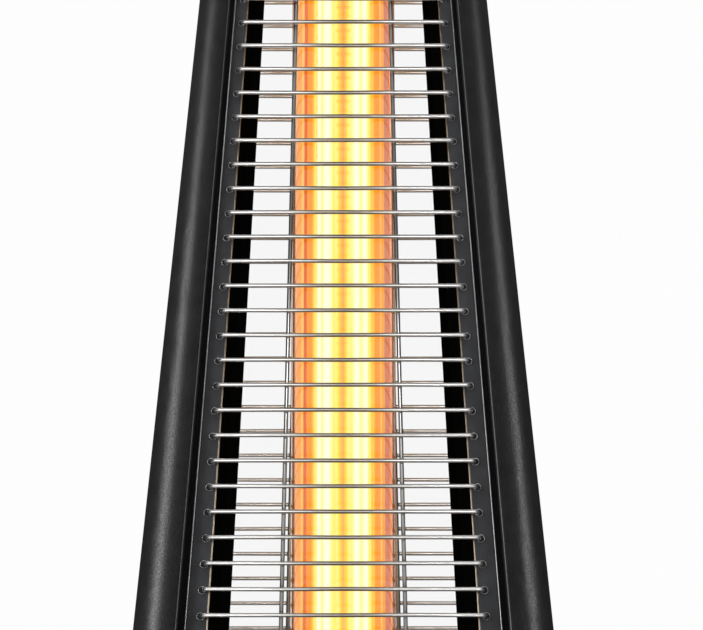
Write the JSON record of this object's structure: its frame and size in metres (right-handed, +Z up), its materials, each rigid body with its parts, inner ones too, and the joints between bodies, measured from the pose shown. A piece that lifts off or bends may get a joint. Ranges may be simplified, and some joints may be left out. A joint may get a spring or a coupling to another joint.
{
  "type": "patio heater",
  "caption": "Square pyramid gas patio heater: a flame in an upright quartz glass tube behind wire guards, over a bottle cabinet and under a square hood",
  "frame": {"origin": "on the floor, under the middle of the heater", "axes": "+Z up, the control panel and cabinet door face -Y, +X to the right when facing them"},
  "size_m": [0.62, 0.62, 2.2116],
  "materials": {
    "black_steel": "matt black powder coat on sheet steel",
    "cover_black": "fine textured black powder coat with a soft sheen",
    "guard_wire": "stainless wire, satin",
    "stainless": "stainless sheet",
    "brushed_plate": "brushed dial plate",
    "bright_metal": "bright zinc plating",
    "hood_metal": "satin sheet aluminium",
    "aluminium_pipe": "drawn pipe",
    "cast_body": "die-cast valve body",
    "brass": "machined brass",
    "copper": "bare copper",
    "quartz": "clear quartz glass",
    "ceramic": "white glazed ceramic",
    "seal": "heat-proof sealing ring",
    "black_plastic": "moulded black plastic",
    "tyre": "soft black rubber"
  },
  "bodies": {
    "stand": {"axle_caps": "black_plastic", "base_pan": "black_steel", "burner_cup": "stainless", "burner_deck": "black_steel", "burner_head": "stainless", "control_panel": "black_steel", "cover_front_left": "cover_black", "cover_front_right": "cover_black", "cover_rear_left": "cover_black", "cover_rear_right": "cover_black", "cylinder_ring": "stainless", "dial_plate": "brushed_plate", "door_magnet": "black_plastic", "feed_pipe": "aluminium_pipe", "feet": "black_plastic", "gas_jet": "brass", "gas_valve": "cast_body", "glass_tube": "quartz", "guard_front": "guard_wire", "guard_left": "guard_wire", "guard_rear": "guard_wire", "guard_right": "guard_wire", "hinge_leaves": "black_steel", "hinge_pins": "bright_metal", "igniter_body": "black_plastic", "igniter_electrode": "ceramic", "lower_collar": "stainless", "lower_seal": "seal", "panel_left": "black_steel", "panel_rear": "black_steel", "panel_right": "black_steel", "panel_screws": "bright_metal", "post_front_left": "black_steel", "post_front_right": "black_steel", "post_rear_left": "black_steel", "post_rear_right": "black_steel", "reflector": "hood_metal", "reflector_nuts": "bright_metal", "reflector_posts": "bright_metal", "thermocouple": "copper", "tilt_switch": "black_plastic", "top_plate": "black_steel", "upper_collar": "stainless", "upper_seal": "seal", "valve_inlet": "brass", "wheel_axle": "bright_metal", "wheel_brackets": "black_steel"},
    "door": {"door_panel": "black_steel", "door_knob": "bright_metal", "door_strike": "bright_metal"},
    "wheel_left_body": {"wheel_left": "black_plastic", "tyre_left": "tyre"},
    "wheel_right_body": {"wheel_right": "black_plastic", "tyre_right": "tyre"},
    "button": {"igniter_button": "black_plastic"},
    "stem": {"valve_stem": "bright_metal"},
    "knob": {"control_knob": "black_plastic"}
  },
  "joints": [
    {"name": "door_hinge", "type": "hinge", "parent": "stand", "child": "door", "pos_m": [-0.1767, -0.22962, 0.40039], "axis": [-0.0634, -0.0772, -0.995], "range_deg": [0, 92]},
    {"name": "left_wheel_spin", "type": "hinge", "parent": "stand", "child": "wheel_left_body", "pos_m": [-0.11, 0.25, 0.029], "axis": [1, 0, 0], "continuous": true},
    {"name": "right_wheel_spin", "type": "hinge", "parent": "stand", "child": "wheel_right_body", "pos_m": [0.11, 0.25, 0.029], "axis": [1, 0, 0], "continuous": true},
    {"name": "igniter_press", "type": "slide", "parent": "stand", "child": "button", "axis": [0, 0.997, -0.0773], "range_m": [0, 0.005], "stiffness_N_per_m": 800},
    {"name": "valve_turn", "type": "hinge", "parent": "stand", "child": "stem", "pos_m": [0, -0.16612, 0.7536], "axis": [0, -0.997, 0.0773], "range_deg": [0, 180]},
    {"name": "knob_press", "type": "slide", "parent": "stem", "child": "knob", "axis": [0, 0.997, -0.0773], "range_m": [0, 0.003], "stiffness_N_per_m": 900}
  ]
}
